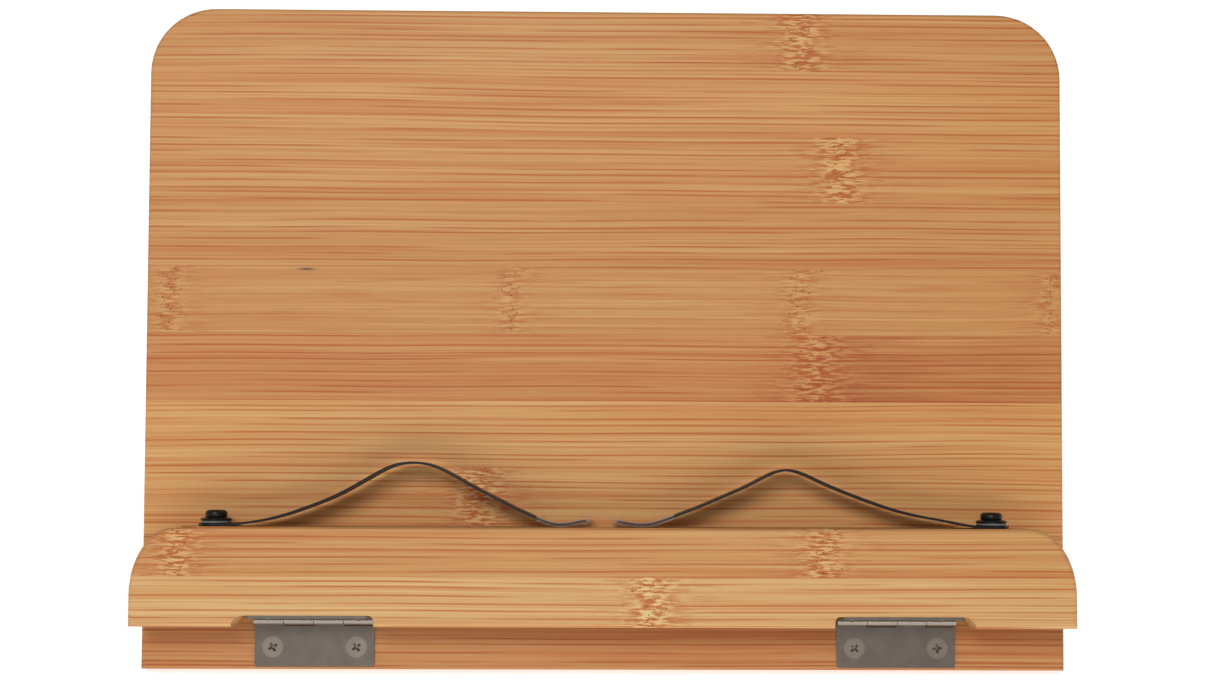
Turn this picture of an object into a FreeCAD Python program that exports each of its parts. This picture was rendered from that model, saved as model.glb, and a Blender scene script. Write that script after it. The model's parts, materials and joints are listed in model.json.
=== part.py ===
import FreeCAD, Part
import math
import os
from FreeCAD import Vector

# Folding reading stand: a leaning back board, a ledge folded up on butt hinges with two page
# clips, and behind it a hinged leg frame held open by a wire stay in two toothed racks.
#
# Everything is first built in the board's own frame, in millimetres: X to the right, Y back
# through the board from its front face, Z up along the board from its bottom edge. The last
# step leans the whole stand back and sets it on the ground with its origin below its middle.

# Back board
BOARD_WIDTH = 280.0
BOARD_HEIGHT = 201.8
BOARD_THICK = 8.0
BOARD_CORNER = 20.0
EDGE_ROUND = 1.0
LEAN = 35.0                      # degrees back from upright

# Ledge, folded up against the board
LEDGE_BOTTOM = 14.1
LEDGE_TOP = 43.5
LEDGE_GAP = 0.4
LEDGE_THICK = 16.0
LEDGE_CORNER_X = 14.0
LEDGE_CORNER_Z = 20.0
LEDGE_EDGE_ROUND = 1.3
NOTCH_INNER = 68.0
NOTCH_OUTER = 106.4
NOTCH_CORNER = 1.6

# Butt hinges, all of one pattern
HINGE_LENGTH = 36.0
KNUCKLE_COUNT = 4
KNUCKLE_RADIUS = 1.6
KNUCKLE_GAP = 0.2
LEAF_REACH = 14.3
LEAF_THICK = 0.85
LEAF_CORNER = 0.8
LEAF_RELIEF = 2.1
LEAF_WEB = 1.3                   # how far the root of a knuckle follows its plate
MOUNT_DISTANCE = 2.2             # from the hinge axis to the face a leaf is screwed to
HINGE_PIN_RADIUS = 0.8
RUNNING_CLEARANCE = 0.05
STAKE_RADIUS = 0.5
SCREW_SPACING = 25.2
SCREW_DISTANCE = 8.45            # from the hinge axis to the row of screws
LEFT_HINGE_X = -87.6
RIGHT_HINGE_X = 88.4
LEDGE_AXIS_Y = -MOUNT_DISTANCE
LEDGE_AXIS_Z = LEDGE_BOTTOM + 1.2

# Countersunk cross-recess wood screws
HEAD_RADIUS = 3.15
HEAD_LAND = 0.2
SHANK_RADIUS = 1.2
BOARD_SCREW_LENGTH = 7.0
LEDGE_SCREW_LENGTH = 12.0
RECESS_RADIUS = 1.5
RECESS_WIDTH = 0.8
RECESS_DEPTH = 1.3

# Page clips on the ledge's free edge
CLIP_SCREW_X = 116.0
CLIP_Y = -(LEDGE_GAP + LEDGE_THICK / 2)
CLIP_WIDTH = 10.0
CLIP_THICK = 0.7
CLIP_END_RADIUS = 5.2
CLIP_LIFT = 0.1                  # running gap under the strip
SLEEVE_WALL = 0.3
SLEEVE_CLEARANCE = 0.05
SLEEVE_START = 95.5
SLEEVE_BEAD = 1.3                # radius of the closed end round the strip's tip
TIP_INSET = 0.3                  # the strip's tip stops this far short of the bead's centre
CLIP_SCREW_RADIUS = 1.6
CLIP_SCREW_LENGTH = 12.0
CLIP_HEAD_RADIUS = 3.25
CLIP_HEAD_HEIGHT = 2.2
CLIP_HEAD_ROUND = 1.2
CLIP_HEAD_FOOT_ROUND = 0.5
NYLON_WASHER_RADIUS = 4.35
NYLON_WASHER_THICK = 0.7
CUP_WASHER_RADIUS = 4.7
CUP_WASHER_THICK = 1.0
CUP_FOOT_RADIUS = 4.3
CUP_CROWN_RADIUS = 3.5

# Spring line of each clip: distance in from its screw, and height above its flat pad
LEFT_CLIP_LINE = [(-5.2, 0), (0, 0), (5, 0.05), (10, 0.65), (16.4, 1.8), (27, 5.1), (37.5, 9.5),
                  (48.1, 15.5), (53.4, 17.9), (58, 18.6), (64, 17.9), (69.4, 15.6), (77.4, 11.2),
                  (85.4, 7.1), (90.8, 4.4), (96.1, 2.1), (98.8, 1.05), (101.2, 0.5), (103.5, 0.42),
                  (106.8, 0.9), (110.5, 1.6)]
RIGHT_CLIP_LINE = [(-5.2, 0), (0, 0), (5, 0.1), (12.2, 1.35), (20.3, 2.8), (28.3, 4.6), (36.4, 7.2),
                   (44.4, 10.2), (52.4, 13.6), (57.8, 16.0), (61.8, 16.8), (65.8, 16.0), (71.2, 13.3),
                   (76.6, 10.7), (81.9, 8.4), (87.2, 6.1), (92.6, 4.0), (97.9, 2.0), (100.6, 1.1),
                   (103, 0.55), (105.5, 0.42), (108.5, 0.7), (112.6, 1.4)]

# Leg frame, described folded flat on the back of the board
LEG_AXIS_Z = 140.0
LEG_AXIS_Y = BOARD_THICK + MOUNT_DISTANCE
LEG_LENGTH = 135.0               # from the leg's hinge axis to its foot
LEG_TOP_DROP = 2.0
LEG_HALF_WIDTH = 80.0
STILE_WIDTH = 20.0
RAIL_HEIGHT = 20.0
LEG_THICK = 9.0
LEG_LEAF_NEAR = 0.55
LEG_INNER_Y = LEG_AXIS_Y - LEG_LEAF_NEAR
LEG_HINGE_X = 40.0

# Wire stay, pivoting in the stiles, and the two racks that catch its crossbar
STAY_RADIUS = 1.6
STAY_PIVOT_DROP = 35.0
STAY_LENGTH = 77.0
STAY_HALF_WIDTH = 55.0
STAY_PIN_END = 68.0
STAY_BEND = 4.0
STAY_HOLE_END = 68.5
SEAT_HEIGHT = 3.5                # rod centre above the board's back, seated in a notch
RACK_X = 38.0
RACK_WIDTH = 12.0
RACK_TOP = 76.0
RACK_FLOOR = 1.6
RACK_CREST = 3.15
NOTCH_COUNT = 5
NOTCH_PITCH = 7.0
NOTCH_UNDERCUT = 20.0            # degrees
ROD_GAP = 0.3
RACK_SCREW_Z = 70.5
RACK_SCREW_LENGTH = 9.0

X_AXIS = Vector(1, 0, 0)
Y_AXIS = Vector(0, 1, 0)
Z_AXIS = Vector(0, 0, 1)


def block(x, y, z):
    """Box from three (low, high) pairs."""
    return Part.makeBox(x[1] - x[0], y[1] - y[0], z[1] - z[0], Vector(x[0], y[0], z[0]))


def rod(radius, start, direction, length):
    return Part.makeCylinder(radius, length, start, direction)


def round_edges(shape, radius, chosen):
    """Fillets every edge of the shape for which chosen(edge) is true."""
    edges = [edge for edge in shape.Edges if chosen(edge)]
    return shape.makeFillet(radius, edges)


def lies_flat_in_y(edge):
    return edge.BoundBox.YLength < 1e-6


def mirrored(shape):
    return shape.mirror(Vector(0, 0, 0), X_AXIS)


def turned(shape, axis, degrees):
    copy = shape.copy()
    copy.rotate(Vector(0, 0, 0), axis, degrees)
    return copy


def moved(shape, x, y, z):
    copy = shape.copy()
    copy.translate(Vector(x, y, z))
    return copy


# ---------------------------------------------------------------- screws

def screw_body(length):
    """Countersunk screw without its recess: head face at z = 0, point downwards."""
    cone_depth = HEAD_RADIUS - SHANK_RADIUS
    land = rod(HEAD_RADIUS, Vector(0, 0, -HEAD_LAND), Z_AXIS, HEAD_LAND)
    cone = Part.makeCone(SHANK_RADIUS, HEAD_RADIUS, cone_depth,
                         Vector(0, 0, -HEAD_LAND - cone_depth), Z_AXIS)
    shank = rod(SHANK_RADIUS, Vector(0, 0, -length), Z_AXIS, length - HEAD_LAND)
    return land.fuse([cone, shank]).removeSplitter()


def cross_recess():
    """Tapered cross that a driver bit sits in, with its mouth at z = 0."""
    arm = block((-RECESS_RADIUS, RECESS_RADIUS), (-RECESS_WIDTH / 2, RECESS_WIDTH / 2),
                (-RECESS_DEPTH, 0))
    cross = arm.fuse(turned(arm, Z_AXIS, 90))
    taper = Part.makeCone(RECESS_WIDTH / 2, RECESS_RADIUS, RECESS_DEPTH,
                          Vector(0, 0, -RECESS_DEPTH), Z_AXIS)
    return cross.common(taper)


def hinge_screws(length, drive_angles):
    """A pair of screws on one leaf and the plain shapes of their holes, in the leaf's frame."""
    screws = []
    holes = []
    for side, drive_angle in zip((-1, 1), drive_angles):
        body = screw_body(length)
        screw = body.cut(turned(cross_recess(), Z_AXIS, drive_angle))
        holes.append(moved(body, side * SCREW_SPACING / 2, 0, 0))
        screws.append(moved(screw, side * SCREW_SPACING / 2, 0, 0))
    return screws, holes


# ---------------------------------------------------------------- hinges

def knuckle_span(index):
    pitch = HINGE_LENGTH / KNUCKLE_COUNT
    start = -HINGE_LENGTH / 2 + index * pitch
    return start + KNUCKLE_GAP / 2, start + pitch - KNUCKLE_GAP / 2


def hinge_leaf(near, stake_side):
    """Leaf hanging down from a barrel on the X axis, with its plate on the +Y side.

    It owns the first and third knuckles, and is cut back round the other leaf's. The first is
    staked on to the pin, which leaves a dimple on stake_side.
    """
    half = HINGE_LENGTH / 2
    leaf = block((-half, half), (near, near + LEAF_THICK), (-LEAF_REACH, 0))
    leaf = round_edges(leaf, LEAF_CORNER, lambda edge: edge.BoundBox.YLength > LEAF_THICK / 2
                       and edge.BoundBox.ZMax < -LEAF_REACH / 2)
    for index in range(KNUCKLE_COUNT):
        low, high = knuckle_span(index)
        if index % 2 == 0:
            web = block((low, high), (0, near + LEAF_THICK / 2), (-LEAF_WEB, 0))
            leaf = leaf.fuse([rod(KNUCKLE_RADIUS, Vector(low, 0, 0), X_AXIS, high - low), web])
        else:
            relief = block((low - KNUCKLE_GAP, high + KNUCKLE_GAP),
                           (-MOUNT_DISTANCE, near + LEAF_THICK + 1), (-LEAF_RELIEF, LEAF_RELIEF))
            leaf = leaf.cut(relief)
    leaf = leaf.cut(rod(HINGE_PIN_RADIUS + RUNNING_CLEARANCE, Vector(-half, 0, 0), X_AXIS,
                        HINGE_LENGTH))
    first_low, first_high = knuckle_span(0)
    stake_centre = stake_side * (KNUCKLE_RADIUS + STAKE_RADIUS / 2)
    stake_centre.x = (first_low + first_high) / 2
    return leaf.cut(Part.makeSphere(STAKE_RADIUS, stake_centre)).removeSplitter()


def hinge_pin():
    return rod(HINGE_PIN_RADIUS, Vector(-HINGE_LENGTH / 2, 0, 0), X_AXIS, HINGE_LENGTH)


def in_leaf_frame(shape, distance, from_outside=False):
    """Puts a screw in a leaf: driven away from the barrel, or from the leaf's outer face."""
    if from_outside:
        placed = turned(shape, X_AXIS, -90)
    else:
        placed = turned(shape, X_AXIS, 90)
    return moved(placed, 0, distance, -SCREW_DISTANCE)


def screwed_leaf(near, screw_length, drive_angles, stake_side, from_outside=False):
    """A leaf with its screws, and the hole shapes to cut from the wood."""
    head_face = near + LEAF_THICK if from_outside else near
    screws, holes = hinge_screws(screw_length, drive_angles)
    screws = [in_leaf_frame(screw, head_face, from_outside) for screw in screws]
    holes = [in_leaf_frame(hole, head_face, from_outside) for hole in holes]
    leaf = hinge_leaf(near, stake_side).cut(holes)
    return leaf, screws, holes


# ---------------------------------------------------------------- board and ledge

def make_back_board():
    """Flat panel with two round top corners and softened edges all round."""
    half = BOARD_WIDTH / 2
    corner = BOARD_CORNER
    side = BOARD_HEIGHT - corner
    slant = corner * math.sqrt(0.5)
    left_arc = Part.Arc(Vector(half, 0, side),
                        Vector(half - corner + slant, 0, side + slant),
                        Vector(half - corner, 0, BOARD_HEIGHT))
    right_arc = Part.Arc(Vector(corner - half, 0, BOARD_HEIGHT),
                         Vector(corner - half - slant, 0, side + slant),
                         Vector(-half, 0, side))
    outline = Part.Wire([
        Part.makeLine(Vector(-half, 0, 0), Vector(half, 0, 0)),
        Part.makeLine(Vector(half, 0, 0), Vector(half, 0, side)),
        left_arc.toShape(),
        Part.makeLine(Vector(half - corner, 0, BOARD_HEIGHT),
                      Vector(corner - half, 0, BOARD_HEIGHT)),
        right_arc.toShape(),
        Part.makeLine(Vector(-half, 0, side), Vector(-half, 0, 0)),
    ])
    panel = Part.Face(outline).extrude(Vector(0, BOARD_THICK, 0))
    return round_edges(panel, EDGE_ROUND, lies_flat_in_y)


def hinge_notch():
    """Pocket in the ledge's hinged edge, round at its inner corner, with a curved run-out."""
    floor = LEDGE_AXIS_Z + MOUNT_DISTANCE
    depth = floor - LEDGE_BOTTOM
    below = LEDGE_BOTTOM - 1
    y_span = (-LEDGE_GAP - LEDGE_THICK - 1, 1)
    pocket = block((NOTCH_INNER, NOTCH_OUTER), y_span, (below, floor))
    pocket = round_edges(pocket, NOTCH_CORNER, lambda edge: edge.BoundBox.YLength > LEDGE_THICK
                         and edge.BoundBox.XMax < NOTCH_INNER + 1
                         and edge.BoundBox.ZMin > LEDGE_BOTTOM)
    run_out = rod(depth, Vector(NOTCH_OUTER, y_span[0], LEDGE_BOTTOM), Y_AXIS,
                  y_span[1] - y_span[0])
    return pocket.fuse(run_out)


def make_ledge():
    """Thick bar, its free corners quarter ellipses, with a through notch at each hinge."""
    half = BOARD_WIDTH / 2
    front = -LEDGE_GAP - LEDGE_THICK
    arc_z = LEDGE_TOP - LEDGE_CORNER_Z
    arc_x = half - LEDGE_CORNER_X
    arcs = []
    for side in (1, -1):
        ellipse = Part.Ellipse(Vector(0, 0, LEDGE_CORNER_Z), Vector(LEDGE_CORNER_X, 0, 0),
                               Vector(0, 0, 0))
        quarter = Part.ArcOfEllipse(ellipse, 0, math.pi / 2).toShape()
        if quarter.Vertexes[0].Z < 0 or quarter.Vertexes[-1].Z < 0:
            quarter = quarter.mirror(Vector(0, 0, 0), Z_AXIS)
        if side * (quarter.Vertexes[0].X + quarter.Vertexes[-1].X) < 0:
            quarter = mirrored(quarter)
        arcs.append(moved(quarter, side * arc_x, 0, arc_z))
    lines = [
        Part.makeLine(Vector(-half, 0, LEDGE_BOTTOM), Vector(half, 0, LEDGE_BOTTOM)),
        Part.makeLine(Vector(half, 0, LEDGE_BOTTOM), Vector(half, 0, arc_z)),
        Part.makeLine(Vector(arc_x, 0, LEDGE_TOP), Vector(-arc_x, 0, LEDGE_TOP)),
        Part.makeLine(Vector(-half, 0, arc_z), Vector(-half, 0, LEDGE_BOTTOM)),
    ]
    outline = Part.Wire(Part.__sortEdges__(lines + arcs))
    bar = Part.Face(outline).extrude(Vector(0, LEDGE_THICK, 0))
    bar = moved(round_edges(bar, LEDGE_EDGE_ROUND, lies_flat_in_y), 0, front, 0)
    notch = hinge_notch()
    return bar.cut([notch, mirrored(notch)])


# ---------------------------------------------------------------- page clips

def ribbon(line, low, high, half_width):
    """Band along an X-Z line, between two offsets square to it, centred on y = 0."""
    curve = Part.BSplineCurve()
    curve.interpolate([Vector(x, 0, z) for x, z in line])
    first, last = curve.FirstParameter, curve.LastParameter
    steps = 60
    edges = []
    for offset in (low, high):
        points = []
        for step in range(steps + 1):
            place = first + (last - first) * step / steps
            along = curve.tangent(place)[0]
            points.append(curve.value(place) + Vector(-along.z, 0, along.x) * offset)
        side = Part.BSplineCurve()
        side.interpolate(points)
        edges.append(side.toShape())
    under, over = edges
    caps = [Part.makeLine(over.valueAt(over.LastParameter), under.valueAt(under.LastParameter)),
            Part.makeLine(under.valueAt(under.FirstParameter), over.valueAt(over.FirstParameter))]
    face = Part.Face(Part.Wire(Part.__sortEdges__([under, over] + caps)))
    return moved(face.extrude(Vector(0, 2 * half_width, 0)), 0, -half_width, 0)


def page_clip(line):
    """Bent spring strip, round at its screw end, with its screw hole at the origin."""
    tip = line[-1][0] - TIP_INSET
    strip = ribbon(line, -CLIP_THICK / 2, CLIP_THICK / 2, CLIP_WIDTH / 2)
    height = LEDGE_TOP
    plan = rod(CLIP_END_RADIUS, Vector(0, 0, -height), Z_AXIS, 2 * height)
    plan = plan.fuse(block((0, tip), (-CLIP_WIDTH, CLIP_WIDTH), (-height, height)))
    strip = strip.common(plan)
    hole = rod(CLIP_SCREW_RADIUS + RUNNING_CLEARANCE, Vector(0, 0, -height), Z_AXIS, 2 * height)
    return strip.cut(hole)


def clip_sleeve(line):
    """Soft sleeve pushed over the last stretch of the strip, with a thick closed end."""
    inner = CLIP_THICK / 2 + SLEEVE_CLEARANCE
    outer = inner + SLEEVE_WALL
    half = CLIP_WIDTH / 2
    reach = (-CLIP_WIDTH, CLIP_WIDTH)
    end_x, end_z = line[-1]
    tube = ribbon(line, -outer, outer, half + SLEEVE_WALL)
    bead = rod(SLEEVE_BEAD, Vector(end_x, -half - SLEEVE_WALL, end_z), Y_AXIS,
               CLIP_WIDTH + 2 * SLEEVE_WALL)
    bore = ribbon(line, -inner, inner, half + SLEEVE_CLEARANCE)
    bore = bore.common(block((0, end_x - TIP_INSET + SLEEVE_CLEARANCE), reach, reach))
    keep = block((SLEEVE_START, BOARD_WIDTH), reach, reach)
    return tube.fuse(bead).cut(bore).common(keep)


def nylon_washer(base):
    radius = NYLON_WASHER_RADIUS
    thick = NYLON_WASHER_THICK
    disc = rod(radius, Vector(0, 0, base), Z_AXIS, thick)
    disc = round_edges(disc, thick / 4, lambda edge: abs(edge.Length - 2 * math.pi * radius) < 1e-3)
    bore = rod(CLIP_SCREW_RADIUS + RUNNING_CLEARANCE, Vector(0, 0, base), Z_AXIS, thick)
    return disc.cut(bore)


def cup_washer(base):
    """Washer with a thin rolled rim that slopes up to a flat crown under the screw head."""
    bore = CLIP_SCREW_RADIUS + RUNNING_CLEARANCE
    rim_low = CUP_WASHER_THICK * 0.35
    rim_high = CUP_WASHER_THICK * 0.55
    profile = [(bore, 0), (CUP_FOOT_RADIUS, 0), (CUP_WASHER_RADIUS, rim_low),
               (CUP_WASHER_RADIUS, rim_high), (CUP_CROWN_RADIUS, CUP_WASHER_THICK),
               (bore, CUP_WASHER_THICK)]
    points = [Vector(radius, 0, base + height) for radius, height in profile]
    face = Part.Face(Part.makePolygon(points + points[:1]))
    return face.revolve(Vector(0, 0, 0), Z_AXIS, 360)


def clip_screw(head_base):
    """Pan-head screw: rounded head above head_base, shank down into the ledge."""
    top = head_base + CLIP_HEAD_HEIGHT
    head = rod(CLIP_HEAD_RADIUS, Vector(0, 0, head_base), Z_AXIS, CLIP_HEAD_HEIGHT)
    head = round_edges(head, CLIP_HEAD_ROUND, lambda edge: edge.BoundBox.ZMin > top - 1e-3)
    head = round_edges(head, CLIP_HEAD_FOOT_ROUND, lambda edge: edge.BoundBox.ZMax < head_base + 1e-3)
    shank = rod(CLIP_SCREW_RADIUS, Vector(0, 0, head_base - CLIP_SCREW_LENGTH), Z_AXIS,
                CLIP_SCREW_LENGTH)
    return head.fuse(shank).cut(moved(cross_recess(), 0, 0, top)).removeSplitter()


def make_clip_set(side, name, line):
    """The strip, sleeve, screw and washers at one end of the ledge."""
    pad = CLIP_LIFT + CLIP_THICK / 2
    nylon_base = CLIP_LIFT + CLIP_THICK + CLIP_LIFT
    cup_base = nylon_base + NYLON_WASHER_THICK
    head_base = cup_base + CUP_WASHER_THICK
    pieces = {
        name + "_page_clip": moved(page_clip(line), 0, 0, pad),
        name + "_clip_sleeve": moved(clip_sleeve(line), 0, 0, pad),
        name + "_clip_nylon_washer": nylon_washer(nylon_base),
        name + "_clip_cup_washer": cup_washer(cup_base),
        name + "_clip_screw": clip_screw(head_base),
    }
    placed = {}
    for node, shape in pieces.items():
        if side > 0:
            shape = mirrored(shape)
        placed[node] = moved(shape, side * CLIP_SCREW_X, CLIP_Y, LEDGE_TOP)
    return placed


# ---------------------------------------------------------------- leg, stay and racks

def make_stile(side):
    """Upright of the leg frame, with the blind hole that a stay end turns in."""
    outer = side * LEG_HALF_WIDTH
    inner = side * (LEG_HALF_WIDTH - STILE_WIDTH)
    bar = block((min(inner, outer), max(inner, outer)), (LEG_INNER_Y, LEG_INNER_Y + LEG_THICK),
                (LEG_AXIS_Z - LEG_LENGTH, LEG_AXIS_Z - LEG_TOP_DROP))
    bar = round_edges(bar, EDGE_ROUND, lambda edge: True)
    pivot = Vector(side * STAY_HALF_WIDTH, LEG_INNER_Y + LEG_THICK / 2,
                   LEG_AXIS_Z - STAY_PIVOT_DROP)
    return bar.cut(rod(STAY_RADIUS + RUNNING_CLEARANCE, pivot, Vector(side, 0, 0),
                       STAY_HOLE_END - STAY_HALF_WIDTH))


def make_rail(top):
    half = LEG_HALF_WIDTH - STILE_WIDTH
    rail = block((-half, half), (LEG_INNER_Y, LEG_INNER_Y + LEG_THICK), (top - RAIL_HEIGHT, top))
    return round_edges(rail, EDGE_ROUND, lambda edge: edge.BoundBox.XLength > half)


def make_stay():
    """U of round wire with outturned ends, hanging straight down from its pivot axis."""
    pin, arm, drop, bend = STAY_PIN_END, STAY_HALF_WIDTH, STAY_LENGTH, STAY_BEND
    slant = bend * (1 - math.sqrt(0.5))
    half = [
        Part.makeLine(Vector(pin, 0, 0), Vector(arm + bend, 0, 0)),
        Part.Arc(Vector(arm + bend, 0, 0), Vector(arm + slant, 0, -slant),
                 Vector(arm, 0, -bend)).toShape(),
        Part.makeLine(Vector(arm, 0, -bend), Vector(arm, 0, bend - drop)),
        Part.Arc(Vector(arm, 0, bend - drop), Vector(arm - slant, 0, slant - drop),
                 Vector(arm - bend, 0, -drop)).toShape(),
        Part.makeLine(Vector(arm - bend, 0, -drop), Vector(0, 0, -drop)),
    ]
    path = Part.Wire(Part.__sortEdges__(half + [mirrored(edge) for edge in half]))
    section = Part.Wire(Part.makeCircle(STAY_RADIUS, Vector(pin, 0, 0), X_AXIS))
    return path.makePipeShell([section], True, False)


def make_rack(seat_z):
    """Toothed strip on the board's back; each undercut tooth face looks down the board."""
    undercut = math.tan(math.radians(NOTCH_UNDERCUT))
    face_distance = (STAY_RADIUS + ROD_GAP) / math.cos(math.radians(NOTCH_UNDERCUT))
    back = BOARD_THICK
    profile = [Vector(0, back, RACK_TOP), Vector(0, back + RACK_CREST, RACK_TOP)]
    for index in range(NOTCH_COUNT):
        rod_z = seat_z - NOTCH_PITCH * index
        crest_z = rod_z + face_distance + (SEAT_HEIGHT - RACK_CREST) * undercut
        root_z = rod_z + face_distance + (SEAT_HEIGHT - RACK_FLOOR) * undercut
        profile.append(Vector(0, back + RACK_CREST, crest_z))
        profile.append(Vector(0, back + RACK_FLOOR, root_z))
        profile.append(Vector(0, back + RACK_FLOOR, rod_z - ROD_GAP))
    last_crest = profile[-3].z - NOTCH_PITCH
    profile.append(Vector(0, back + RACK_CREST, last_crest + 0.5))
    profile.append(Vector(0, back + RACK_CREST, last_crest - 0.5))
    profile.append(Vector(0, back, last_crest - 0.5))
    strip = Part.Face(Part.makePolygon(profile + profile[:1])).extrude(Vector(RACK_WIDTH, 0, 0))
    return moved(strip, -RACK_WIDTH / 2, 0, 0)


def leg_swing():
    """Angle from folded, in degrees, that brings the leg's rounded foot to the ground."""
    lean = math.radians(LEAN)
    radius = EDGE_ROUND
    axis_height = LEG_AXIS_Z * math.cos(lean) - MOUNT_DISTANCE * math.sin(lean)
    ground = radius * (math.cos(lean) + math.sin(lean))
    along = radius - LEG_LENGTH
    across = radius - LEG_LEAF_NEAR
    reach = math.hypot(along, across)
    phase = math.atan2(across, along)
    return math.degrees(phase - math.acos((ground - axis_height) / reach)) + LEAN


def swing_about(shape, y, z, degrees):
    copy = shape.copy()
    copy.rotate(Vector(0, y, z), X_AXIS, degrees)
    return copy


# ---------------------------------------------------------------- the whole stand

def add_ledge_hinge(nodes, hinge_x, name, board_drive, ledge_drive):
    """One hinge between the board's front and the ledge, with its four screws."""
    near = MOUNT_DISTANCE - LEAF_THICK
    board_leaf, board_screws, board_holes = screwed_leaf(
        near, BOARD_SCREW_LENGTH, board_drive, -Y_AXIS)
    ledge_leaf, ledge_screws, ledge_holes = screwed_leaf(
        near, LEDGE_SCREW_LENGTH, ledge_drive, -Z_AXIS)

    def at_board(shape):
        return moved(shape, hinge_x, LEDGE_AXIS_Y, LEDGE_AXIS_Z)

    def at_ledge(shape):
        return at_board(turned(turned(shape, Z_AXIS, 180), X_AXIS, -90))

    nodes[name + "_board_leaf"] = at_board(board_leaf)
    nodes[name + "_ledge_leaf"] = at_ledge(ledge_leaf)
    nodes[name + "_pin"] = at_board(hinge_pin())
    nodes[name + "_board_screws"] = Part.makeCompound([at_board(s) for s in board_screws])
    nodes[name + "_ledge_screws"] = Part.makeCompound([at_ledge(s) for s in ledge_screws])
    nodes["back_board"] = nodes["back_board"].cut([at_board(hole) for hole in board_holes])
    nodes["ledge"] = nodes["ledge"].cut([at_ledge(hole) for hole in ledge_holes])


def add_leg_hinge(nodes, side, name):
    """One hinge between the board's back and the leg's top rail, drawn with the leg folded."""
    board_leaf, board_screws, board_holes = screwed_leaf(
        MOUNT_DISTANCE - LEAF_THICK, BOARD_SCREW_LENGTH, (25, 70), -Y_AXIS)
    leg_leaf, leg_screws, leg_holes = screwed_leaf(
        LEG_LEAF_NEAR, BOARD_SCREW_LENGTH, (10, 55), -Y_AXIS, from_outside=True)

    def at_board(shape):
        return moved(turned(shape, X_AXIS, 180), side * LEG_HINGE_X, LEG_AXIS_Y, LEG_AXIS_Z)

    def at_leg(shape):
        return moved(turned(shape, Z_AXIS, 180), side * LEG_HINGE_X, LEG_AXIS_Y, LEG_AXIS_Z)

    nodes[name + "_board_leaf"] = at_board(board_leaf)
    nodes[name + "_leg_leaf"] = at_leg(leg_leaf)
    nodes[name + "_pin"] = at_board(hinge_pin())
    nodes[name + "_board_screws"] = Part.makeCompound([at_board(s) for s in board_screws])
    nodes[name + "_leg_screws"] = Part.makeCompound([at_leg(s) for s in leg_screws])
    nodes["back_board"] = nodes["back_board"].cut([at_board(hole) for hole in board_holes])
    nodes["leg_top_rail"] = nodes["leg_top_rail"].cut([at_leg(hole) for hole in leg_holes])


def add_rack(nodes, side, name, seat_z):
    """One rack with the screw through its flat upper end."""
    body = screw_body(RACK_SCREW_LENGTH)
    screw = body.cut(cross_recess())

    def placed(shape):
        return moved(turned(shape, X_AXIS, -90), side * RACK_X, BOARD_THICK + RACK_CREST,
                     RACK_SCREW_Z)

    nodes[name + "_angle_rack"] = moved(make_rack(seat_z), side * RACK_X, 0, 0).cut(placed(body))
    nodes[name + "_rack_screw"] = placed(screw)
    nodes["back_board"] = nodes["back_board"].cut(placed(body))


def build():
    """Every node of the stand, standing open in the board's own frame."""
    nodes = {"back_board": make_back_board(), "ledge": make_ledge()}
    add_ledge_hinge(nodes, LEFT_HINGE_X, "left_ledge_hinge", (30, 35), (0, 40))
    add_ledge_hinge(nodes, RIGHT_HINGE_X, "right_ledge_hinge", (45, 5), (20, 75))
    for side, name, line in ((-1, "left", LEFT_CLIP_LINE), (1, "right", RIGHT_CLIP_LINE)):
        clip_set = make_clip_set(side, name, line)
        nodes.update(clip_set)
        nodes["ledge"] = nodes["ledge"].cut(clip_set[name + "_clip_screw"])

    nodes["leg_left_stile"] = make_stile(-1)
    nodes["leg_right_stile"] = make_stile(1)
    nodes["leg_top_rail"] = make_rail(LEG_AXIS_Z - LEG_TOP_DROP)
    nodes["leg_bottom_rail"] = make_rail(LEG_AXIS_Z - LEG_LENGTH + RAIL_HEIGHT)
    for side, name in ((-1, "left_leg_hinge"), (1, "right_leg_hinge")):
        add_leg_hinge(nodes, side, name)

    swing = leg_swing()
    for node in list(nodes):
        if node.startswith("leg_") or node.endswith("_leg_leaf") or node.endswith("_leg_screws"):
            nodes[node] = swing_about(nodes[node], LEG_AXIS_Y, LEG_AXIS_Z, swing)

    turn = math.radians(swing)
    offset = LEG_THICK / 2 - LEG_LEAF_NEAR
    pivot_z = LEG_AXIS_Z - STAY_PIVOT_DROP * math.cos(turn) + offset * math.sin(turn)
    pivot_y = LEG_AXIS_Y + STAY_PIVOT_DROP * math.sin(turn) + offset * math.cos(turn)
    fall = math.asin((pivot_y - BOARD_THICK - SEAT_HEIGHT) / STAY_LENGTH)
    seat_z = pivot_z - STAY_LENGTH * math.cos(fall)
    stay = moved(make_stay(), 0, pivot_y, pivot_z)
    nodes["support_stay"] = swing_about(stay, pivot_y, pivot_z, -math.degrees(fall))
    for side, name in ((-1, "left"), (1, "right")):
        add_rack(nodes, side, name, seat_z)

    print("leg axis y, z", LEG_AXIS_Y, LEG_AXIS_Z, "leg swing", round(swing, 4))
    print("stay pivot y, z", round(pivot_y, 4), round(pivot_z, 4), "fall",
          round(math.degrees(fall), 4), "seat z", round(seat_z, 4))
    return nodes


def set_on_ground(nodes):
    """Leans the stand back and puts the origin on the ground below the middle of its box."""
    leaned = {node: turned(shape, X_AXIS, -LEAN) for node, shape in nodes.items()}
    boxes = [shape.optimalBoundingBox(False, False) for shape in leaned.values()]
    low_y = min(box.YMin for box in boxes)
    high_y = max(box.YMax for box in boxes)
    low_z = min(box.ZMin for box in boxes)
    print("shift y, z", round(-(low_y + high_y) / 2, 4), round(-low_z, 4))
    return {node: moved(shape, 0, -(low_y + high_y) / 2, -low_z) for node, shape in leaned.items()}


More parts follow.
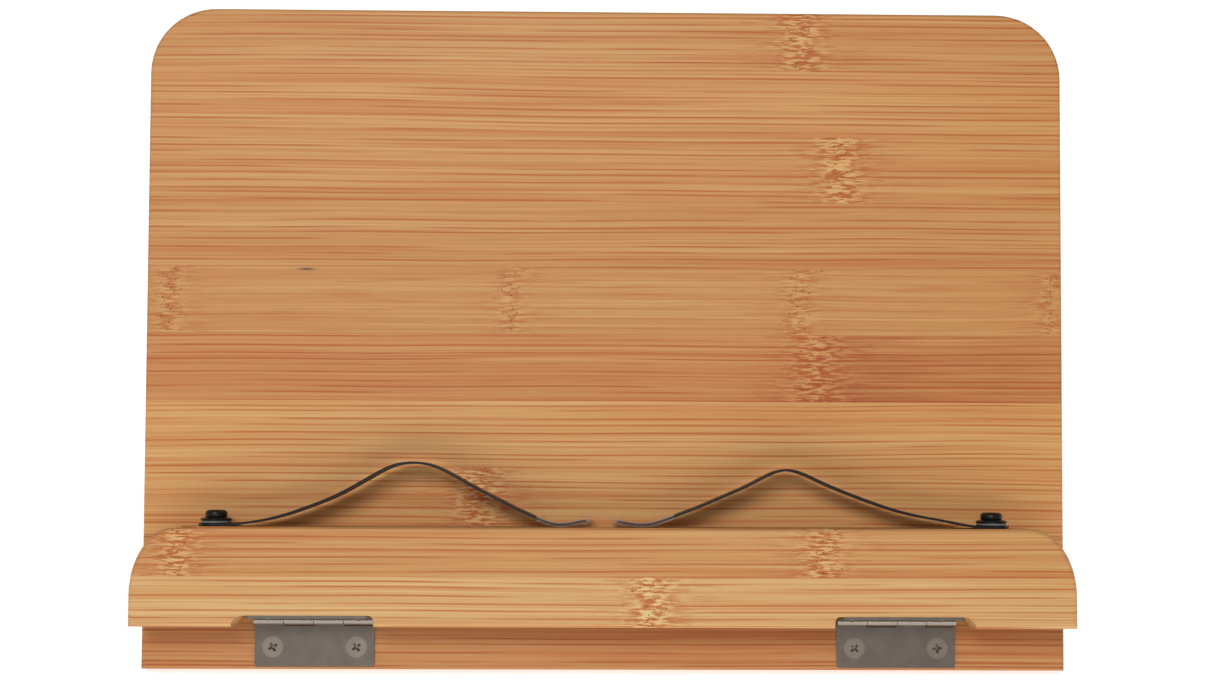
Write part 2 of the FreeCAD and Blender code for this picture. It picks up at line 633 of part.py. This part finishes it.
os.makedirs("parts", exist_ok=True)
for node, shape in set_on_ground(build()).items():
    shape.exportStep(os.path.join("parts", node + ".step"))
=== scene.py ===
"""Looks for a folding bamboo reading stand: camera, lights, floor and every surface's material."""
import json
import math

import bpy
from mathutils import Matrix, Vector

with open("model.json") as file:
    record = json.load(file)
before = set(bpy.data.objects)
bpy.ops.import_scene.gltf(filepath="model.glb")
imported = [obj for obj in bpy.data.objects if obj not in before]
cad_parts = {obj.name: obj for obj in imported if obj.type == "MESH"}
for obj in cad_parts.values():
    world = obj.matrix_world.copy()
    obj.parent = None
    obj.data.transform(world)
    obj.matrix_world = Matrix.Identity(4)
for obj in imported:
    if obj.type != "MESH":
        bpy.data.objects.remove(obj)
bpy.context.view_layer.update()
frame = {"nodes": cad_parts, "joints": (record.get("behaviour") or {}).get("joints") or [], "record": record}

# ---------------------------------------------------------------- places taken from the frame

MOUNTS = {mount["name"]: mount for mount in frame["record"]["mounts"]}
JOINTS = {joint["name"]: joint for joint in frame["joints"]}
BOARD_THICK = 0.008

RIGHT = Vector((1, 0, 0))
FRONT = Vector(MOUNTS["reading_face"]["axis"]).normalized()      # out of the board's face
UP = Vector((0, FRONT.z, -FRONT.y))                              # along the board, to its top
BACK = -FRONT
# bottom edge of the board's front face, in the middle
BOARD_FOOT = Vector(MOUNTS["bottom_edge"]["pos_m"]) + FRONT * BOARD_THICK / 2

LEDGE_HINGE = Vector(JOINTS["ledge_fold"]["pos_m"])
LEG_HINGE = Vector(JOINTS["leg_fold"]["pos_m"])
LEG_SWING = -math.radians(JOINTS["leg_fold"]["range_deg"][0])
LEG_DOWN = Matrix.Rotation(LEG_SWING, 3, "X") @ -UP              # from the leg's hinge to its foot


def on_board(right, up, front=0.0):
    """A point given from the board's foot, in metres."""
    return BOARD_FOOT + RIGHT * right + UP * up + FRONT * front


# ---------------------------------------------------------------- shader building

MM_PER_M = 1e3


def tone(red, green, blue):
    """Scene colour of a display colour given as 0 to 255."""
    def linear(value):
        value /= 255
        return value / 12.92 if value <= 0.04045 else ((value + 0.055) / 1.055) ** 2.4
    return (linear(red), linear(green), linear(blue), 1.0)


class Graph:
    """Short names for the shader nodes that the materials are built from."""

    def __init__(self, name):
        self.material = bpy.data.materials.new(name)
        self.material.use_nodes = True
        self.tree = self.material.node_tree
        self.tree.nodes.clear()

    def node(self, kind, **settings):
        made = self.tree.nodes.new("ShaderNode" + kind)
        for key, value in settings.items():
            setattr(made, key, value)
        return made

    def feed(self, socket, value):
        if isinstance(value, bpy.types.NodeSocket):
            self.tree.links.new(value, socket)
        else:
            socket.default_value = value

    def math(self, operation, *values, clamp=False):
        made = self.node("Math", operation=operation, use_clamp=clamp)
        for socket, value in zip(made.inputs, values):
            self.feed(socket, value)
        return made.outputs[0]

    def plus(self, first, second):
        return self.math("ADD", first, second)

    def minus(self, first, second):
        return self.math("SUBTRACT", first, second)

    def times(self, first, second, clamp=False):
        return self.math("MULTIPLY", first, second, clamp=clamp)

    def vector(self, operation, *values):
        made = self.node("VectorMath", operation=operation)
        for socket, value in zip(made.inputs, values):
            self.feed(socket, value)
        return made.outputs["Value" if operation in ("DOT_PRODUCT", "LENGTH") else "Vector"]

    def combine(self, x, y, z):
        made = self.node("CombineXYZ")
        for socket, value in zip(made.inputs, (x, y, z)):
            self.feed(socket, value)
        return made.outputs[0]

    def position(self):
        return self.node("TexCoord").outputs["Object"]

    def position_mm(self):
        return self.vector("MULTIPLY", self.position(), (MM_PER_M, MM_PER_M, MM_PER_M))

    def noise(self, vector, scale=1.0, detail=2.0, roughness=0.5, distortion=0.0):
        made = self.node("TexNoise")
        self.feed(made.inputs["Vector"], vector)
        self.feed(made.inputs["Scale"], scale)
        self.feed(made.inputs["Detail"], detail)
        self.feed(made.inputs["Roughness"], roughness)
        self.feed(made.inputs["Distortion"], distortion)
        return made.outputs[0]

    def random(self, value):
        made = self.node("TexWhiteNoise", noise_dimensions="1D")
        self.feed(made.inputs["W"], value)
        return made.outputs["Value"]

    def dots(self, vector, size, share):
        """Small round dots, one in each unit cell, in as many of the cells as share says."""
        made = self.node("TexVoronoi", feature="F1", voronoi_dimensions="2D")
        self.feed(made.inputs["Vector"], vector)
        self.feed(made.inputs["Scale"], 1.0)
        self.feed(made.inputs["Randomness"], 0.9)
        cell = self.vector("DOT_PRODUCT", made.outputs["Color"], (1.0, 0.0, 0.0))
        kept = self.math("GREATER_THAN", share, cell)
        return self.times(self.fade(made.outputs["Distance"], size, size * 0.5), kept)

    def fade(self, value, low, high):
        """0 at low, 1 at high, smooth between them."""
        made = self.node("MapRange", interpolation_type="SMOOTHSTEP")
        for key, number in (("Value", value), ("From Min", low), ("From Max", high)):
            self.feed(made.inputs[key], number)
        return made.outputs["Result"]

    def bell(self, value, centre, width):
        """1 at centre, falling smoothly to either side."""
        off = self.math("DIVIDE", self.minus(value, centre), width)
        return self.math("POWER", math.e, self.times(self.times(off, off), -1.0))

    def mix(self, factor, first, second, blend="MIX"):
        made = self.node("Mix", data_type="RGBA", blend_type=blend)
        self.feed(made.inputs["Factor"], factor)
        self.feed(made.inputs[6], first)
        self.feed(made.inputs[7], second)
        return made.outputs[2]

    def bump(self, height, strength, distance):
        made = self.node("Bump")
        self.feed(made.inputs["Strength"], strength)
        self.feed(made.inputs["Distance"], distance)
        self.feed(made.inputs["Height"], height)
        return made.outputs["Normal"]

    def surface(self, **sockets):
        shader = self.node("BsdfPrincipled")
        for key, value in sockets.items():
            self.feed(shader.inputs[key.replace("_", " ")], value)
        output = self.node("OutputMaterial")
        self.tree.links.new(shader.outputs[0], output.inputs["Surface"])
        return self.material


# ---------------------------------------------------------------- bamboo

PALE = tone(203, 151, 93)
TAN = tone(197, 139, 81)
STREAK = tone(188, 112, 58)
LINE = tone(175, 90, 38)
CREAM = tone(216, 170, 108)
PORE = tone(70, 36, 20)
SCORCH = tone(60, 42, 30)


class Wood:
    """Strips of bamboo side by side, each with its own run of fibres.

    Lengths are millimetres along the grain, across the strips and into the wood.
    """

    def __init__(self, graph, origin, grain, stack, strip_width, seed):
        self.graph = graph
        self.strip_width = strip_width
        offset = graph.vector("SUBTRACT", graph.position(), origin)
        self.along, self.across, depth = (
            graph.times(graph.vector("DOT_PRODUCT", offset, axis), MM_PER_M)
            for axis in (grain, stack, grain.cross(stack)))
        self.strip = graph.math("FLOOR", graph.math("DIVIDE", self.across, strip_width))
        self.pick = graph.random(graph.plus(self.strip, seed))
        self.pick_two = graph.random(graph.plus(self.strip, seed + 31.0))
        # each strip takes its fibres from a different place in the noise
        self.run = graph.plus(self.along, graph.times(self.pick, 900.0))
        self.layer = graph.plus(depth, graph.times(self.pick_two, 400.0))
        self.level = self.find_level(depth)

    def find_level(self, depth):
        """Place across the fibres, which wander slightly and tilt in each strip's own way."""
        graph = self.graph
        drift = graph.noise(graph.combine(graph.times(self.run, 0.009),
                                          graph.times(self.across, 0.03), self.layer), detail=1.0)
        level = graph.plus(self.across, graph.times(graph.minus(drift, 0.5), 2.2))
        tilt = graph.times(graph.minus(self.pick_two, 0.5), 0.006)
        level = graph.plus(level, graph.times(self.along, tilt))
        slope = graph.minus(self.pick, 0.5)
        level = graph.plus(level, graph.times(depth, slope))
        return graph.plus(level, graph.times(self.pick, 37.0))

    def is_strip(self, index):
        return self.graph.math("COMPARE", self.strip, float(index), 0.1)

    def fibres(self, stretch, pitch, deep, detail, roughness=0.5, distortion=0.0):
        """Noise with the given cells per millimetre along, across and into the fibres."""
        place = self.graph.combine(self.graph.times(self.run, stretch),
                                   self.graph.times(self.level, pitch),
                                   self.graph.times(self.layer, deep))
        return self.graph.noise(place, detail=detail, roughness=roughness, distortion=distortion)

    def fine_lines(self, spacing, width, seed):
        """Thin parallel lines, one in every spacing, each fading in and out along its run."""
        graph = self.graph
        scaled = graph.math("DIVIDE", self.level, spacing)
        cell = graph.math("FLOOR", scaled)
        nudge = graph.random(graph.plus(cell, seed))
        centre = graph.plus(cell, graph.plus(0.22, graph.times(nudge, 0.56)))
        line = graph.bell(scaled, centre, width / spacing)
        fading = graph.noise(graph.combine(graph.times(self.run, 0.016), graph.times(cell, 7.3),
                                           graph.times(self.layer, 0.5)), detail=2.0)
        return graph.times(line, graph.fade(fading, 0.36, 0.58))

    def joint_masks(self, joints):
        """Masks of the culm joints: their torn middle, their brushed fringe and their pore rows."""
        graph = self.graph
        wander = graph.noise(graph.combine(0.0, graph.times(self.across, 0.3), 3.7), detail=3.0)
        moved = graph.plus(self.along, graph.times(graph.minus(wander, 0.5), 7.0))
        middle, fringe, pores = 0.0, 0.0, 0.0
        for index, place, width, strength, pitting in joints:
            here = self.is_strip(index)
            core = graph.times(graph.bell(moved, place, width), strength)
            wide = graph.times(graph.bell(moved, place, width * 2.2), strength)
            row = graph.times(graph.bell(moved, place, width * 0.5), pitting)
            middle = graph.plus(middle, graph.times(core, here))
            fringe = graph.plus(fringe, graph.times(wide, here))
            pores = graph.plus(pores, graph.times(row, here))
        return middle, fringe, pores


def paint_grain(wood, face_strips):
    """Colour, height and broad lines of plain wood. Face strips have flames and fainter lines."""
    graph = wood.graph
    broad = wood.fibres(stretch=0.005, pitch=0.3, deep=0.2, detail=2.0, roughness=0.55)
    streaks = wood.fibres(stretch=0.006, pitch=0.5, deep=0.4, detail=2.0)
    lines = wood.fibres(stretch=0.007, pitch=1.5, deep=0.8, detail=1.0, roughness=0.4)
    threads = wood.fibres(stretch=0.012, pitch=3.4, deep=2.0, detail=1.0, roughness=0.4)
    flames = wood.fibres(stretch=0.035, pitch=0.9, deep=0.5, detail=3.0, roughness=0.6)
    strong = wood.fine_lines(spacing=2.1, width=0.24, seed=3.0)
    faint = wood.fine_lines(spacing=1.25, width=0.16, seed=61.0)

    face = 0.0
    for index in face_strips:
        face = graph.plus(face, wood.is_strip(index))
    plain = graph.minus(1.0, face)
    softer = graph.minus(1.0, graph.times(face, 0.6))

    colour = graph.mix(graph.fade(broad, 0.36, 0.62), PALE, TAN)
    band = graph.times(graph.fade(streaks, 0.52, 0.68), 0.6)
    colour = graph.mix(graph.times(band, plain), colour, STREAK)
    flame = graph.times(graph.fade(flames, 0.5, 0.72), face)
    colour = graph.mix(graph.times(flame, 0.5), colour, STREAK)
    light_line = graph.times(graph.fade(lines, 0.46, 0.3), 0.4)
    colour = graph.mix(light_line, colour, CREAM)
    thread = graph.times(graph.fade(threads, 0.56, 0.68), 0.3)
    colour = graph.mix(graph.times(thread, softer), colour, STREAK)
    faint = graph.times(graph.times(faint, softer), 0.55)
    colour = graph.mix(faint, colour, STREAK)
    strong = graph.times(graph.times(strong, softer), 0.95)
    colour = graph.mix(strong, colour, LINE)
    height = graph.minus(graph.times(threads, 0.5), graph.times(strong, 0.5))
    return colour, height, lines


def paint_joints(wood, colour, height, joints):
    """Culm joints: brushed dark fibres, torn light and dark flecks, and small pores."""
    graph = wood.graph
    middle, fringe, pores = wood.joint_masks(joints)
    brushed = wood.fibres(stretch=0.1, pitch=1.3, deep=1.0, detail=2.0, roughness=0.6)
    brushed = graph.times(graph.fade(brushed, 0.5, 0.6), fringe)
    colour = graph.mix(graph.times(brushed, 0.75, clamp=True), colour, LINE)
    torn = wood.fibres(stretch=0.26, pitch=1.35, deep=1.0, detail=2.0, roughness=0.6,
                       distortion=0.25)
    dark = graph.times(graph.fade(torn, 0.49, 0.58), middle)
    light = graph.times(graph.fade(torn, 0.5, 0.41), middle)
    colour = graph.mix(graph.times(light, 0.95, clamp=True), colour, CREAM)
    colour = graph.mix(graph.times(dark, 0.95, clamp=True), colour, LINE)
    cells = graph.combine(graph.times(wood.along, 0.5), graph.times(wood.across, 0.42), 0.0)
    holes = graph.dots(cells, 0.13, pores)
    colour = graph.mix(graph.times(holes, 0.85), colour, PORE)
    height = graph.plus(height, graph.times(light, 0.25))
    return colour, graph.minus(height, holes)


def paint_stains(wood, colour, stains):
    """Reddish streaky stains, each along part of one strip."""
    graph = wood.graph
    for index, place, length, strength in stains:
        blotch = wood.fibres(stretch=0.03, pitch=0.7, deep=1.0, detail=3.0)
        spread = graph.times(graph.bell(wood.along, place, length), wood.is_strip(index))
        spread = graph.times(spread, graph.fade(blotch, 0.3, 0.62))
        colour = graph.mix(graph.times(spread, strength), colour, STREAK, "MULTIPLY")
    return colour


def paint_marks(wood, colour, marks):
    """Small scorched marks."""
    graph = wood.graph
    for along, across, length, tall in marks:
        spot = graph.times(graph.bell(wood.along, along, length),
                           graph.bell(wood.across, across, tall))
        colour = graph.mix(graph.times(spot, 0.95), colour, SCORCH)
    return colour


def paint_strips(wood, colour, tints_and_painted_light):
    """The glue line between strips, the difference in shade from strip to strip, and colour factors for
    single strips, some of which are painted light or painted shade beside the ledge.
    """
    graph = wood.graph
    seam = graph.math("PINGPONG", wood.across, wood.strip_width / 2)
    seam = graph.times(graph.fade(seam, 0.28, 0.0), 0.5)
    seam = graph.times(seam, graph.fade(wood.pick, 0.1, 0.7))
    colour = graph.mix(seam, colour, LINE)
    shade = graph.plus(0.97, graph.times(wood.pick_two, 0.06))
    colour = graph.vector("MULTIPLY", colour, graph.combine(shade, shade, shade))
    # colour factors for single strips; on some strips these are painted light or painted shade
    for index, tint_and_painted_light in tints_and_painted_light:
        colour = graph.mix(wood.is_strip(index), colour, tint_and_painted_light, "MULTIPLY")
    return colour


def bamboo(name, origin, grain, stack, strip_width, seed, joints=(), face_strips=(), marks=(),
           stains=(), tints_and_painted_light=()):
    """Laminated bamboo, with strips that run along grain and lie side by side along stack.

    A joint is (strip, place, width, strength, pitting), a mark is (along, across, length, height),
    a stain is (strip, place, length, strength) and a strip's colour factor is (strip, colour factor); on
    some strips that factor is painted light or painted shade.
    """
    graph = Graph(name)
    wood = Wood(graph, origin, grain, stack, strip_width, seed)
    colour, height, lines = paint_grain(wood, face_strips)
    if joints:
        colour, height = paint_joints(wood, colour, height, joints)
    colour = paint_stains(wood, colour, stains)
    colour = paint_marks(wood, colour, marks)
    colour = paint_strips(wood, colour, tints_and_painted_light)
    gloss = graph.plus(0.44, graph.times(lines, 0.14))
    return graph.surface(Base_Color=colour, Roughness=gloss, Specular_IOR_Level=0.3,
                         Normal=graph.bump(height, 0.2, 0.00005))


# ---------------------------------------------------------------- metals and plastics

NICKEL_FLECK = tone(150, 140, 128)
NICKEL_WORN = tone(186, 176, 164)
# lighter colour for the knuckles: a painted highlight
NICKEL_KNUCKLE_HIGHLIGHT = tone(154, 143, 133)
KNUCKLE_INSIDE = 1.7                                             # mm from the hinge's axis
KNUCKLE_OUTSIDE = 1.9
BLACK_SCRATCH = tone(110, 106, 102)


def nickel(name, base, speckle, roughness, axis=None):
    """Dull plated sheet steel with fine speckle and a few rub marks.

    A hinge's knuckles, close round its axis, are given a lighter colour as a painted highlight, and are made
    glossier.
    """
    graph = Graph(name)
    place = graph.position_mm()
    grain = graph.noise(place, scale=3.2, detail=4.0, roughness=0.7)
    cloud = graph.noise(place, scale=0.22, detail=2.0)
    rub = graph.noise(graph.vector("MULTIPLY", place, (0.5, 2.6, 2.6)), scale=1.3, detail=5.0,
                      roughness=0.75, distortion=0.6)
    colour = graph.mix(graph.fade(cloud, 0.3, 0.7), base, speckle)
    colour = graph.mix(graph.times(graph.fade(grain, 0.42, 0.62), 0.35), colour, NICKEL_FLECK)
    colour = graph.mix(graph.times(graph.fade(rub, 0.62, 0.72), 0.6), colour, NICKEL_WORN)
    dull = graph.plus(roughness, graph.times(grain, 0.16))
    if axis:
        reach = graph.vector("SUBTRACT", graph.position(), axis)
        reach = graph.vector("LENGTH", graph.vector("MULTIPLY", reach, (0.0, MM_PER_M, MM_PER_M)))
        # painted highlight: the knuckles near the axis get a lighter colour and less roughness
        knuckle_highlight = graph.fade(reach, KNUCKLE_OUTSIDE, KNUCKLE_INSIDE)
        colour = graph.mix(knuckle_highlight, colour, NICKEL_KNUCKLE_HIGHLIGHT)
        dull = graph.times(dull, graph.minus(1.0, graph.times(knuckle_highlight, 0.25)))
    return graph.surface(Base_Color=colour, Metallic=1.0, Roughness=dull,
                         Normal=graph.bump(grain, 0.16, 0.00004))


def black_steel(name, roughness):
    """Black oxide steel, slightly mottled, with faint handling scratches."""
    graph = Graph(name)
    place = graph.position_mm()
    mottle = graph.noise(place, scale=1.4, detail=4.0, roughness=0.65)
    scratch = graph.noise(graph.vector("MULTIPLY", place, (0.3, 3.0, 3.0)), scale=2.0, detail=4.0,
                          roughness=0.7)
    colour = graph.mix(graph.fade(mottle, 0.35, 0.7), tone(14, 11, 10), tone(30, 26, 24))
    colour = graph.mix(graph.times(graph.fade(scratch, 0.68, 0.76), 0.4), colour, BLACK_SCRATCH)
    dull = graph.plus(roughness, graph.times(mottle, 0.18))
    return graph.surface(Base_Color=colour, Roughness=dull, Specular_IOR_Level=0.28,
                         Normal=graph.bump(mottle, 0.12, 0.00003))


def clear_plastic(name):
    """Soft clear tube with faint cloudiness."""
    graph = Graph(name)
    cloud = graph.noise(graph.position_mm(), scale=0.9, detail=3.0)
    haze = graph.plus(0.03, graph.times(cloud, 0.08))
    return graph.surface(Base_Color=(0.98, 0.95, 0.93, 1.0), Roughness=haze, IOR=1.45,
                         Transmission_Weight=0.97, Normal=graph.bump(cloud, 0.1, 0.0001))


def nylon(name):
    """Translucent grey washer plastic, slightly cloudy."""
    graph = Graph(name)
    cloud = graph.noise(graph.position_mm(), scale=1.1, detail=3.0)
    colour = graph.mix(cloud, tone(96, 94, 92), tone(134, 130, 126))
    return graph.surface(Base_Color=colour, Roughness=0.42, Subsurface_Weight=0.2,
                         Subsurface_Scale=0.001, Normal=graph.bump(cloud, 0.1, 0.00005))


def floor_paint(name):
    """Very pale seamless paper."""
    graph = Graph(name)
    fleck = graph.noise(graph.position(), scale=60.0, detail=4.0)
    colour = graph.mix(fleck, (0.74, 0.74, 0.74, 1.0), (0.77, 0.77, 0.77, 1.0))
    return graph.surface(Base_Color=colour, Roughness=0.85, Emission_Color=(1.0, 1.0, 1.0, 1.0),
                         Emission_Strength=0.7, Normal=graph.bump(fleck, 0.05, 0.0004))


# ---------------------------------------------------------------- which node wears what

BOARD_STRIP = 20.4                       # widths of the bamboo strips, mm
LEDGE_STRIP = 14.9
LEG_STRIP = 20.0
RACK_STRIP = 12.0
LEDGE_BOTTOM = 0.0141                    # m up the board

BOARD_JOINTS = [
    (9, 60.0, 7.0, 1.0, 0.3), (7, 71.6, 7.0, 1.0, 0.3), (5, -133.0, 5.0, 0.6, 0.9),
    (5, -29.0, 4.8, 0.55, 0.9), (5, 59.3, 5.0, 0.6, 0.9), (5, 136.6, 4.6, 0.5, 0.9),
    (4, 64.5, 8.0, 1.0, 0.3), (2, -38.0, 7.5, 1.0, 0.3),
]
LEDGE_JOINTS = [(1, -126.2, 5.5, 1.0, 0.7), (1, 64.1, 6.5, 1.0, 0.4), (0, 13.3, 6.5, 1.0, 0.6)]
STILE_JOINTS = [(3, 48.0, 5.0, 1.0, 0.4), (-4, 96.0, 5.0, 1.0, 0.4)]
RAIL_JOINTS = [(0, 22.0, 5.0, 0.9, 0.4), (5, -31.0, 5.0, 0.9, 0.4)]
BOARD_MARKS = [(-91.5, 121.6, 2.4, 0.35)]
BOARD_STAINS = [(4, 80.0, 20.0, 0.34), (4, 118.0, 24.0, 0.2)]
# shades of single strips; strip 0, below the ledge, is darkened as painted shadow, and strips 2 and 3 beside
# the ledge are lightened as painted light
BOARD_TINTS_AND_PAINTED_LIGHT = [(0, (0.88, 0.84, 0.88, 1.0)), (2, (1.12, 1.17, 1.2, 1.0)),
               (3, (1.16, 1.23, 1.28, 1.0)), (4, (0.99, 0.88, 0.84, 1.0))]
# the ledge's strips are lightened, partly as painted light
LEDGE_TINTS_AND_PAINTED_LIGHT = [(0, (1.13, 1.34, 1.6, 1.0)), (1, (1.03, 1.08, 1.15, 1.0))]
HINGE_TONES = (tone(143, 132, 121), tone(152, 141, 130))

bamboo_board = bamboo("bamboo_board", BOARD_FOOT, RIGHT, UP, BOARD_STRIP, 4.0, BOARD_JOINTS,
                      face_strips=(5,), marks=BOARD_MARKS, stains=BOARD_STAINS, tints_and_painted_light=BOARD_TINTS_AND_PAINTED_LIGHT)
bamboo_ledge = bamboo("bamboo_ledge", on_board(0.0, LEDGE_BOTTOM), RIGHT, UP, LEDGE_STRIP, 17.0,
                      LEDGE_JOINTS, tints_and_painted_light=LEDGE_TINTS_AND_PAINTED_LIGHT)
bamboo_stile = bamboo("bamboo_stile", LEG_HINGE, LEG_DOWN, RIGHT, LEG_STRIP, 52.0, STILE_JOINTS)
bamboo_rail = bamboo("bamboo_rail", LEG_HINGE, RIGHT, LEG_DOWN, LEG_STRIP, 71.0, RAIL_JOINTS)
bamboo_rack = bamboo("bamboo_rack", BOARD_FOOT, UP, RIGHT, RACK_STRIP, 93.0)
nickel_ledge_hinge = nickel("nickel_ledge_hinge", *HINGE_TONES, 0.22, LEDGE_HINGE)
nickel_leg_hinge = nickel("nickel_leg_hinge", *HINGE_TONES, 0.22, LEG_HINGE)
nickel_screw = nickel("nickel_screw", tone(148, 137, 125), tone(160, 148, 136), 0.3)
# painted shade for the rounds round the hinge screw heads and in their slots
screw_painted_shade = nickel("screw_painted_shade", tone(66, 56, 48), tone(82, 70, 60), 0.45)
wire_steel = nickel("wire_steel", tone(168, 166, 162), tone(190, 188, 184), 0.22)
spring_black = black_steel("spring_black", 0.3)
screw_black = black_steel("screw_black", 0.24)
sleeve_clear = clear_plastic("sleeve_clear")
washer_nylon = nylon("washer_nylon")

MATERIAL_BY_ENDING = (
    ("back_board", bamboo_board), ("ledge", bamboo_ledge), ("_stile", bamboo_stile),
    ("_rail", bamboo_rail), ("_angle_rack", bamboo_rack), ("support_stay", wire_steel),
    ("_page_clip", spring_black), ("_clip_sleeve", sleeve_clear), ("_nylon_washer", washer_nylon),
    ("_cup_washer", screw_black), ("_clip_screw", screw_black), ("_rack_screw", nickel_screw),
    ("_screws", nickel_screw),
)
SHARP_EDGED = ("_leaf", "_screw", "_screws", "_washer", "_pin")
SHARP_ANGLE = math.radians(35)
EDGE_ROUND = 0.00015
HINGE_SCREW_ROUND = 0.00025


def material_for(node):
    if node.endswith(("_leaf", "_pin")):
        return nickel_ledge_hinge if "_ledge_hinge_" in node else nickel_leg_hinge
    return next(material for ending, material in MATERIAL_BY_ENDING if node.endswith(ending))


def dress(node, piece):
    """One material on every face of the node, and a fine round on the edges of small metal.

    The rounds on the hinge screws are dark, as painted shade round the heads and in the slots.
    """
    piece.data.materials.clear()
    piece.data.materials.append(material_for(node))
    for face in piece.data.polygons:
        face.material_index = 0
    if node.endswith(SHARP_EDGED):
        bevel = piece.modifiers.new("edge_round", "BEVEL")
        bevel.width = EDGE_ROUND
        bevel.segments = 2
        bevel.limit_method = "ANGLE"
        bevel.angle_limit = SHARP_ANGLE
        if node.endswith("_screws"):
            # the rounds on the hinge screws take the painted shade
            piece.data.materials.append(screw_painted_shade)
            bevel.width = HINGE_SCREW_ROUND
            bevel.material = 1


for node, piece in frame["nodes"].items():
    dress(node, piece)

# ---------------------------------------------------------------- floor, light and camera

FLOOR_HALF = 3.0
SKY_STRENGTH = 0.31
LIT_HEIGHT = 0.09                        # the lights aim this far up the board
KEY_DISTANCE = 1.6
KEY_RISE = math.radians(20.0)            # above the board's normal
KEY_LEFT = math.radians(9.0)
KEY_SIZE = (0.8, 0.42)
KEY_POWER = 12.2
GLOW_DISTANCE = 0.9
GLOW_DROP = math.radians(32.0)           # below the board's normal
GLOW_SIZE = (1.0, 0.06)
GLOW_POWER = 0.9
CAMERA_LENS = 52.5
CAMERA_SENSOR = 36.0
CAMERA_DISTANCE = 0.54
CAMERA_HEIGHT = 0.060                    # along the board
CAMERA_TURN = math.radians(1.0)          # to the right of square on
CAMERA_TILT = math.radians(2.56)         # up along the board from square on
CAMERA_ROLL = math.radians(0.23)
CAMERA_SHIFT = (-0.0245, 0.0424)


def make_floor():
    corners = [(-FLOOR_HALF, -FLOOR_HALF, 0), (FLOOR_HALF, -FLOOR_HALF, 0),
               (FLOOR_HALF, FLOOR_HALF, 0), (-FLOOR_HALF, FLOOR_HALF, 0)]
    mesh = bpy.data.meshes.new("floor")
    mesh.from_pydata(corners, [], [(0, 1, 2, 3)])
    floor = bpy.data.objects.new("floor", mesh)
    bpy.context.scene.collection.objects.link(floor)
    mesh.materials.append(floor_paint("floor_paper"))


def area_light(name, toward, distance, size, power):
    """A rectangular light that stands off from the board in one direction and faces it."""
    light = bpy.data.lights.new(name, "AREA")
    light.shape = "RECTANGLE"
    light.size, light.size_y = size
    light.energy = power
    lamp = bpy.data.objects.new(name, light)
    bpy.context.scene.collection.objects.link(lamp)
    lamp.location = on_board(0.0, LIT_HEIGHT) + toward * distance
    lamp.rotation_euler = (-toward).to_track_quat("-Z", "Y").to_euler()


def make_lights():
    world = bpy.data.worlds.new("studio")
    world.use_nodes = True
    background = world.node_tree.nodes["Background"]
    background.inputs["Color"].default_value = (1.0, 1.0, 1.0, 1.0)
    background.inputs["Strength"].default_value = SKY_STRENGTH
    bpy.context.scene.world = world
    above = FRONT * math.cos(KEY_RISE) + UP * math.sin(KEY_RISE) - RIGHT * math.sin(KEY_LEFT)
    area_light("key", above, KEY_DISTANCE, KEY_SIZE, KEY_POWER)
    below = FRONT * math.cos(GLOW_DROP) - UP * math.sin(GLOW_DROP)
    area_light("glow", below, GLOW_DISTANCE, GLOW_SIZE, GLOW_POWER)


def make_camera():
    data = bpy.data.cameras.new("camera")
    data.lens = CAMERA_LENS
    data.sensor_width = CAMERA_SENSOR
    data.shift_x, data.shift_y = CAMERA_SHIFT
    camera = bpy.data.objects.new("camera", data)
    bpy.context.scene.collection.objects.link(camera)
    level = RIGHT * math.sin(CAMERA_TURN) + BACK * math.cos(CAMERA_TURN)
    ahead = level * math.cos(CAMERA_TILT) + UP * math.sin(CAMERA_TILT)
    side = RIGHT * math.cos(CAMERA_TURN) - BACK * math.sin(CAMERA_TURN)
    turn = Matrix((side, side.cross(ahead), -ahead)).transposed().to_4x4()
    roll = Matrix.Rotation(CAMERA_ROLL, 4, "Z")
    place = Matrix.Translation(on_board(0.0, CAMERA_HEIGHT, CAMERA_DISTANCE))
    camera.matrix_world = place @ turn @ roll
    bpy.context.scene.camera = camera


make_floor()
make_lights()
make_camera()
bpy.context.scene.view_settings.view_transform = "Standard"
